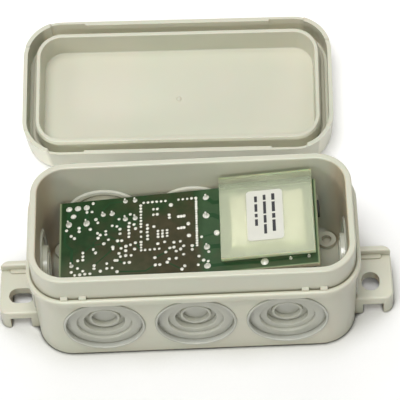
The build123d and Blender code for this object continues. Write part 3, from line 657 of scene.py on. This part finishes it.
# Rows of small filled holes: u, v, step along u, step along v, and how many
HOLE_ROWS = (
    (-34.6, 4.8, 0, 0, 1), (-33.2, 2.7, 0.9, -0.9, 2), (-30.9, 4.0, 0, 1.2, 2),
    (-28.7, 10.5, 1.5, 0, 2), (-26.9, 13.4, 0, 0, 1), (-27.7, 4.4, 0, 0, 1), (-26.1, 7.7, 0.6, -1.2, 2),
    (-25.6, 2.9, 0.7, -0.8, 2), (-25.4, 1.1, 0, 0, 1), (-23.2, 2.1, 0, 1.2, 2), (-22.4, 0.3, 0, 0, 1),
    (-21.2, -3.1, 0, 0.7, 2), (-21.4, 5.0, 1.3, -0.4, 2), (-19.4, 7.0, 0, 0, 1),
    (-19.2, 1.9, 0, 1.6, 2), (-19.9, -0.5, 1.2, 0, 2), (-18.8, -3.1, 1.33, 0.45, 4),
    (-17.5, -4.1, 2.5, 0.3, 2), (-19.5, -4.8, 0.5, -1.1, 2), (-17.5, -5.8, 1.5, 0, 2),
    (-20.6, -7.1, 0.7, 0, 2), (-17.9, -8.2, 1.4, 0, 2), (-26.8, -2.6, 0.7, -1.2, 2),
    (-29.8, -3.5, 0, -1.2, 3), (-31.2, -6.0, 0, 0, 1), (-33.0, -9.7, 1.7, 1.1, 2),
    (-29.8, -9.6, 0, 0, 1), (-26.5, -8.1, 0, -1.1, 2), (-24.8, -10.2, 0, 0, 1),
    (-23.0, -7.9, 0.1, -1.6, 2), (-21.4, -9.5, 0, 0, 1), (-20.0, -10.9, 0, 0, 1),
    (-32.0, -10.8, 1.45, 0, 4), (-16.2, 8.3, 0, 0, 1), (-16.5, 5.3, 1.4, -0.6, 2),
    (-16.6, 0.6, 0, 1.15, 4), (-14.7, 3.2, 0, 0, 1), (-11.3, -0.9, 0, 1.22, 5), (-9.5, 3.2, 0, 0, 1),
    (-9.5, 9.3, 1.1, 0, 2), (-9.5, 7.4, 1.1, 0, 2), (-5.0, 5.8, 0, 1.0, 2), (-2.4, 5.9, 0.8, 0, 3),
    (-2.4, 1.9, 0.8, 0, 3), (-8.4, -2.7, 2.0, 0.3, 2), (-3.8, -2.8, 1.8, 0.1, 2),
    (-5.0, -4.6, 1.2, 0.1, 2), (-3.2, -5.9, 1.3, 0.5, 2), (-1.1, -4.4, 0, 0, 1), (1.3, -5.8, 0, 1.3, 2),
    (-9.3, -7.4, 0, 0, 1), (-6.1, -5.9, 0, 0, 1), (-5.2, -8.3, -0.6, -1.0, 2), (-3.2, -8.3, 0, 0, 1),
    (-1.1, -7.2, 0, 0, 1), (-9.2, -9.9, 1.3, 0, 2), (-1.7, -12.2, 0.8, 1.1, 2), (2.9, -11.2, 0, 0, 1),
    (3.2, -8.3, 0.5, 0, 1), (4.1, -1.9, 0, 0, 1), (6.0, -7.1, 0, 0, 1), (4.5, -9.9, 1.3, -0.4, 2),
)

# The fence of small holes round the radio section, and those in its middle
FENCE_ROWS = (
    (-13.15, 4.6, 0, 1.07, 7), (-13.15, 0.2, 0, 1.7, 3), (-13.15, -4.5, 0, 0.95, 4),
    (-12.3, 11.9, 1.25, -0.02, 6), (-2.3, 11.8, 1.25, 0, 5), (2.75, -4.6, 0, 0.84, 20),
    (-12.0, -4.5, 1.33, 0, 4),
) + tuple((-8.3, row, 1.3, 0, 3) for row in (-0.4, 0.6, 1.6))

# Copper tracks under the lacquer: width, then the points that each goes through
TRACKS = (
    (1.3, (-33.9, 12.1), (-33.9, 6.7)),
    (0.9, (-31.35, 12.1), (-31.35, 10.4), (-32.6, 9.4)),
    (1.1, (-28.8, 12.1), (-28.8, 6.6), (-30.4, 5.0), (-30.9, 4.0)),
    (0.5, (-24.0, 9.1), (-26.1, 7.7)),
    (0.5, (-21.4, 9.1), (-19.4, 7.0), (-19.2, 3.5)),
    (0.5, (-17.6, 13.0), (-22.0, 13.0), (-24.0, 11.0), (-24.0, 9.1)),
    (0.5, (-17.6, 6.8), (-16.5, 5.3), (-16.5, 0.6)),
    (0.5, (-14.8, 6.8), (-14.8, 3.2)),
    (0.8, (-33.0, -7.6), (-33.0, -2.0), (-35.0, 0.0), (-35.0, 5.6), (-33.9, 6.7)),
    (0.4, (-29.8, -3.5), (-27.5, -1.2), (-23.8, -1.0)),
    (0.4, (-26.5, -8.1), (-21.2, -3.1)),
    (0.4, (-23.2, 2.1), (-19.9, -0.5), (-18.8, -3.1)),
    (0.4, (-20.6, -7.1), (-17.9, -8.2)),
    (0.4, (-25.4, 1.1), (-26.8, -0.3), (-26.8, -2.6)),
    (1.2, (5.6, 11.6), (7.6, 9.6), (12.0, 9.6)),
    (1.4, (5.5, 5.3), (7.5, 5.3), (11.0, 3.0)),
    (1.2, (8.4, -1.0), (12.0, -1.0)),
    (1.4, (5.5, -5.5), (9.0, -5.5), (12.0, -7.0)),
    (1.0, (5.5, -11.9), (12.0, -11.9), (21.5, -12.3)),
    (0.5, (21.5, -12.3), (28.8, -12.0)),
    (0.5, (28.8, -12.0), (33.9, -11.8), (35.4, -10.3), (35.4, 0.0)),
    (0.4, (-13.15, -4.5), (-14.8, -1.6)),
    (0.4, (-9.3, -7.4), (-6.1, -5.9), (-5.0, -4.6)),
    (0.4, (-9.2, -9.9), (-12.0, -11.6), (-20.0, -10.9)),
    (0.4, (-5.8, -9.3), (-1.7, -12.2)),
    (0.4, (2.9, -11.2), (4.5, -9.9)),
    (0.4, (1.3, -5.8), (4.1, -1.9), (8.4, -1.0)),
)
TRACK_HEIGHT = 0.025
TRACK_SUNK = 0.01           # how deep a track's foot lies in the board
BOARD_EDGE = 0.12
SHEET_EDGE = 0.15

# The piece's name, its rows of holes, their radius, and how far they stray from their places
HOLES = (
    ("filled_holes", HOLE_ROWS, 0.48, 0.06),
    ("fence_holes", FENCE_ROWS, 0.42, 0.02),
)

# Solder: how deep its foot lies in the board, how high its edge stands, and a lead's radius
SOLDER_SUNK = 0.02
SOLDER_EDGE = 0.05
LEAD = 0.3

FOAM_SWELL = 0.15
FOAM_CORNER = 0.6
FOAM_LEVELS = 7
FOAM_ROUND = 0.7            # the share of its half height where the rounding of its edges starts
CORNER_STEPS = 6

# Rows of bars on the label: place across it, start from its back edge, width, and the bars' lengths
# with the gaps between them as negative lengths
LABEL_ROWS = (
    (0.74, 1.4, 0.9, (2.2, -0.6, 3.4, -0.6, 1.6, -0.6, 3.9)),
    (0.5, 1.6, 0.8, (1.8, -0.5, 4.2, -0.5, 2.6, -0.5, 3.2)),
    (0.26, 1.9, 0.8, (2.0, -0.7, 2.6, -0.7, 1.2, -0.7, 2.2)),
)
BAR_SUNK = 0.02
BAR_HEIGHT = 0.015


def scaled(points):
    """Points on the board, from millimetres to metres."""
    return [(u * MM, v * MM) for u, v in points]


def build_board():
    """The lacquered board with its cut edges, and the tracks that stand up a little under the lacquer."""
    middle = BOARD_MIDDLE * MM
    half_length, half_width = BOARD_LENGTH / 2, BOARD_WIDTH / 2
    bm = bmesh.new()
    add_block(bm, (middle - half_length, -half_width, -BOARD_THICKNESS),
              (middle + half_length, half_width, 0), BOARD_EDGE * MM)
    mark_sides(bm)
    soften(bm, 20)
    new_object("board_panel", bm, (MATERIALS["circuit_board"], MATERIALS["board_edge"]), "board", BOARD,
               ("main_board",))
    bm = bmesh.new()
    for width, *points in TRACKS:
        add_strip(bm, scaled(points), width * MM, TRACK_HEIGHT * MM, -TRACK_SUNK * MM)
    new_object("board_tracks", bm, (MATERIALS["board_track"],), "board", BOARD)


def solder_profile(radius, lead):
    """A fillet of solder rising to a lead, or a low dome where no lead stands."""
    if lead == 0:
        return [(radius, -SOLDER_SUNK), (radius, SOLDER_EDGE), (0.9 * radius, 0.22 * radius),
                (0.62 * radius, 0.42 * radius), (0.3 * radius, 0.5 * radius), (0, 0.53 * radius)]
    foot = 0.92 * radius
    return [(foot, -SOLDER_SUNK), (foot, SOLDER_EDGE), (0.78 * foot, 0.14), (0.56 * foot, 0.32),
            (0.44 * foot, 0.52), (max(0.36 * foot, LEAD), 0.24 + 0.5 * lead), (LEAD, 0.36 + 0.7 * lead),
            (0.9 * LEAD, 0.36 + lead), (0.6 * LEAD, 0.42 + lead), (0, 0.42 + lead)]


def add_joint(bm, u, v, radius, lead):
    """One soldered joint, a little out of round."""
    profile = [(r * MM, h * MM) for r, h in reversed(solder_profile(radius, lead))]
    squeeze = dice.uniform(0.86, 1.0)
    turn = dice.uniform(0, math.pi)
    add_revolved(bm, u * MM, v * MM, profile, squeeze, turn)


def add_row(bm, u, v, along, across, count, radius, loose):
    """A row of filled holes, each a little off its place and a little larger or smaller."""
    for i in range(count):
        place_u = u + i * along + dice.uniform(-loose, loose)
        place_v = v + i * across + dice.uniform(-loose, loose)
        add_joint(bm, place_u, place_v, radius * dice.uniform(0.9, 1.12), 0)


def build_joints():
    """The soldered leads, and the small holes filled with solder."""
    bm = bmesh.new()
    for joint in JOINTS:
        add_joint(bm, *joint)
    soften(bm, 50)
    new_object("solder_joints", bm, (MATERIALS["soldered_lead"],), "board", BOARD)
    for name, rows, radius, loose in HOLES:
        bm = bmesh.new()
        for row in rows:
            add_row(bm, *row, radius, loose)
        soften(bm, 50)
        new_object(name, bm, (MATERIALS["solder"],), "board", BOARD)


def build_sheet():
    """The sheet over the board's right end."""
    low, high = corners_on_board("cover_plate")
    bm = bmesh.new()
    add_block(bm, low, high, SHEET_EDGE * MM)
    mark_sides(bm)
    soften(bm, 50)
    new_object("cover_sheet", bm, (MATERIALS["plate"], MATERIALS["plate_edge"]), "board", BOARD,
               ("cover_plate",))


def build_foam():
    """The foam pad, its sides swelling a little between the board and the sheet."""
    low, high = corners_on_board("foam_pad")
    middle = (low + high) / 2
    half = (high - low) / 2
    bm = bmesh.new()
    loops = []
    for row in range(FOAM_LEVELS):
        level = 2 * row / (FOAM_LEVELS - 1) - 1
        inset = FOAM_SWELL * MM * (level ** 2 + 2 * max(0.0, abs(level) - FOAM_ROUND))
        loops.append(rounded_loop(bm, middle, half.x - inset, half.y - inset, FOAM_CORNER * MM,
                                  middle.z + level * half.z))
    for lower, upper in zip(loops, loops[1:]):
        for i in range(len(lower)):
            j = (i + 1) % len(lower)
            bm.faces.new((lower[i], lower[j], upper[j], upper[i]))
    bm.faces.new(list(reversed(loops[0])))
    bm.faces.new(loops[-1])
    soften(bm, 60)
    pad = new_object("foam_block", bm, (MATERIALS["foam"],), "board", BOARD, ("foam_pad",))


def rounded_loop(bm, middle, half_x, half_y, corner, height):
    """The vertices of a rectangle with rounded corners at a height."""
    loop = []
    for quarter, (side_x, side_y) in enumerate(((1, 1), (-1, 1), (-1, -1), (1, -1))):
        x = middle.x + side_x * (half_x - corner)
        y = middle.y + side_y * (half_y - corner)
        for i in range(CORNER_STEPS + 1):
            angle = (quarter + i / CORNER_STEPS) * math.pi / 2
            place = (x + corner * math.cos(angle), y + corner * math.sin(angle), height)
            loop.append(bm.verts.new(place))
    return loop


def build_label_bars():
    """Three plain rows of bars, where a label would be printed."""
    low, high = corners_on_board("plate_label")
    bm = bmesh.new()
    for share, start, width, bars in LABEL_ROWS:
        x = low.x + share * (high.x - low.x)
        y = high.y - start * MM
        for bar in bars:
            length = abs(bar) * MM
            if bar > 0:
                add_block(bm, (x - width * MM / 2, y - length, high.z - BAR_SUNK * MM),
                          (x + width * MM / 2, y, high.z + BAR_HEIGHT * MM))
            y -= length
    new_object("label_bars", bm, (MATERIALS["label_ink"],), "board", BOARD)


def corners_on_board(node):
    """A node's lowest and highest corners in the board's own frame."""
    back = BOARD.inverted()
    points = [back @ v.co for v in frame["nodes"][node].data.vertices]
    return (Vector(min(p[k] for p in points) for k in range(3)),
            Vector(max(p[k] for p in points) for k in range(3)))


# Stage, light and camera

FLOOR_REACH = 2.5           # metres
RAMP_TOP = 12.5             # millimetres, as are the next two; the paper levels off at this height
RAMP_BEND = 14.0            # radius of both bends
RAMP_GAP = 0.15             # paper to the lid's underside
BEND_STEPS = 8


def ramp_profile(slope):
    """Distance and height along the paper: level, up at the lid's slope, and level again."""
    bend, top = RAMP_BEND * MM, RAMP_TOP * MM
    half = bend * math.tan(slope / 2)
    run = top / math.tan(slope)
    points = [(-FLOOR_REACH, 0.0)]
    for i in range(BEND_STEPS + 1):
        angle = slope * i / BEND_STEPS
        points.append((-half + bend * math.sin(angle), bend * (1 - math.cos(angle))))
    for i in range(BEND_STEPS + 1):
        angle = slope * (1 - i / BEND_STEPS)
        points.append((run + half - bend * math.sin(angle), top - bend * (1 - math.cos(angle))))
    return points + [(FLOOR_REACH, top)]


def build_floor():
    """A sheet of white paper under everything, which rises gently under the lid and carries it."""
    point, normal = lid_underside()
    up = -normal
    slope = math.acos(up.z)
    uphill = Vector((-up.x, -up.y, 0)).normalized()
    side = Vector((uphill.y, -uphill.x, 0))
    foot = point - uphill * (point.z - RAMP_GAP * MM) / math.tan(slope)
    foot.z = 0
    bm = bmesh.new()
    edges = []
    for reach in (-FLOOR_REACH, FLOOR_REACH):
        edges.append([bm.verts.new(foot + uphill * s + side * reach + Vector((0, 0, z)))
                      for s, z in ramp_profile(slope)])
    for i in range(len(edges[0]) - 1):
        face = bm.faces.new((edges[0][i], edges[0][i + 1], edges[1][i + 1], edges[1][i]))
        face.smooth = True
    if sum(f.normal.z for f in bm.faces) < 0:
        bmesh.ops.reverse_faces(bm, faces=bm.faces)
    floor = new_object("floor", bm, (paper_material(),), None)


BEHIND = (10, 30)           # millimetres behind the box's middle, where the paper's back part starts
GLOW = 0.12


def paper_material():
    """White paper, which lights the object less than it would if it were as white as it is seen."""
    shader = Shader("paper", BOUNCE_FRONT, 0.9, Specular_IOR_Level=0.1)
    rays = shader.node("ShaderNodeLightPath").outputs
    watched = shader.math("MAXIMUM", *(rays[kind] for kind in ("Is Camera Ray", "Is Glossy Ray",
                                                               "Is Transmission Ray")))
    behind = shader.between(shader.axes(shader.place)[1], BEHIND)
    white = shader.patches(0.6, *PAPER)
    # Painted shadow, darker close to the box but not under the lugs, where light gets in through the slots, and a
    # painted contact shadow at the box's foot
    shade = shader.ramp(shader.openness(12), (0.25, WHITE), (0.45, PAPER_PAINTED_SHADOW), (0.92, WHITE))
    near_painted_shadow = shader.painted_crease_shade(shader.multiply(white, shade), 2.0, PAPER_PAINTED_CONTACT_SHADOW, low=0.50, high=0.72)
    bounce = shader.ramp(behind, (0, BOUNCE_FRONT), (1, BOUNCE_BACK))
    shader.link(shader.mix(watched, bounce, shader.mix(behind, near_painted_shadow, white)), "Base Color")
    # A faint glow behind the box, where it is seen, takes the lid's shadow away
    shader.set("Emission Color", (*WHITE, 1))
    shader.link(shader.math("MULTIPLY", behind, watched, GLOW), "Emission Strength")
    shader.link(shader.bump(shader.noise(0.4), depth_mm=0.01), "Normal")
    return shader.material


AMBIENT_STRENGTH = 0.20


def build_world():
    """Even pale surroundings, white where they are seen."""
    world = bpy.data.worlds.new("surroundings")
    bpy.context.scene.world = world
    world.use_nodes = True
    tree = world.node_tree
    ambient = tree.nodes["Background"]
    ambient.inputs["Color"].default_value = (*AMBIENT, 1)
    ambient.inputs["Strength"].default_value = AMBIENT_STRENGTH
    white = tree.nodes.new("ShaderNodeBackground")
    white.inputs["Color"].default_value = (*WHITE, 1)
    seen = tree.nodes.new("ShaderNodeLightPath")
    either = tree.nodes.new("ShaderNodeMath")
    either.operation = "MAXIMUM"
    tree.links.new(seen.outputs["Is Camera Ray"], either.inputs[0])
    tree.links.new(seen.outputs["Is Transmission Ray"], either.inputs[1])
    chosen = tree.nodes.new("ShaderNodeMixShader")
    tree.links.new(either.outputs[0], chosen.inputs[0])
    tree.links.new(ambient.outputs[0], chosen.inputs[1])
    tree.links.new(white.outputs[0], chosen.inputs[2])
    tree.links.new(chosen.outputs[0], tree.nodes["World Output"].inputs["Surface"])


# Square soft lamps: name, place, the point that it is aimed at, and size, in metres, and watts
LAMPS = (
    ("overhead", (-0.25, -0.45, 2.05), (0, 0.03, 0), 0.9, 28),
    ("back_soft", (0.1, 0.95, 1.25), (0, 0.03, 0), 1.0, 2),
    ("front_fill", (-0.75, -0.85, 0.5), (0, 0, 0.02), 0.3, 2.7),
    ("spark_middle", (0.0, -0.6, 0.82), (0, 0, 0.02), 0.025, 0.8),
    ("spark_right", (0.35, -0.55, 0.78), (0, 0, 0.02), 0.025, 0.6),
    ("back_low", (0.0, 0.95, 0.28), (0, 0.02, 0.02), 0.3, 1.5),
)


def add_lamp(name, place, target, size, watts):
    """One of the lamps above."""
    lamp = bpy.data.lights.new(name, "AREA")
    lamp.shape = "SQUARE"
    lamp.size = size
    lamp.energy = watts
    holder = bpy.data.objects.new(name, lamp)
    bpy.context.scene.collection.objects.link(holder)
    aim = Vector(target) - Vector(place)
    holder.matrix_world = Matrix.Translation(place) @ aim.to_track_quat("-Z", "Y").to_matrix().to_4x4()


def build_camera():
    """A camera aimed by its drop, yaw and roll."""
    drop, yaw, roll = (math.radians(a) for a in (CAMERA_DROP, CAMERA_YAW, CAMERA_ROLL))
    ahead = Vector((-math.sin(yaw) * math.cos(drop), math.cos(yaw) * math.cos(drop), -math.sin(drop)))
    right = Vector((math.cos(yaw), math.sin(yaw), 0))
    up = right.cross(ahead)
    level = Matrix((right * math.cos(roll) + up * math.sin(roll),
                    up * math.cos(roll) - right * math.sin(roll), -ahead)).transposed()
    camera = bpy.data.cameras.new("camera")
    camera.lens = CAMERA_LENS
    camera.sensor_width = CAMERA_SENSOR
    holder = bpy.data.objects.new("camera", camera)
    bpy.context.scene.collection.objects.link(holder)
    holder.matrix_world = Matrix.Translation(Vector(CAMERA_PLACE) * MM) @ level.to_4x4()
    bpy.context.scene.camera = holder


paint_nodes()
build_board()
build_joints()
build_sheet()
build_foam()
build_label_bars()
build_floor()
build_world()
for lamp_values in LAMPS:
    add_lamp(*lamp_values)
build_camera()
bpy.context.scene.view_settings.view_transform = "Standard"
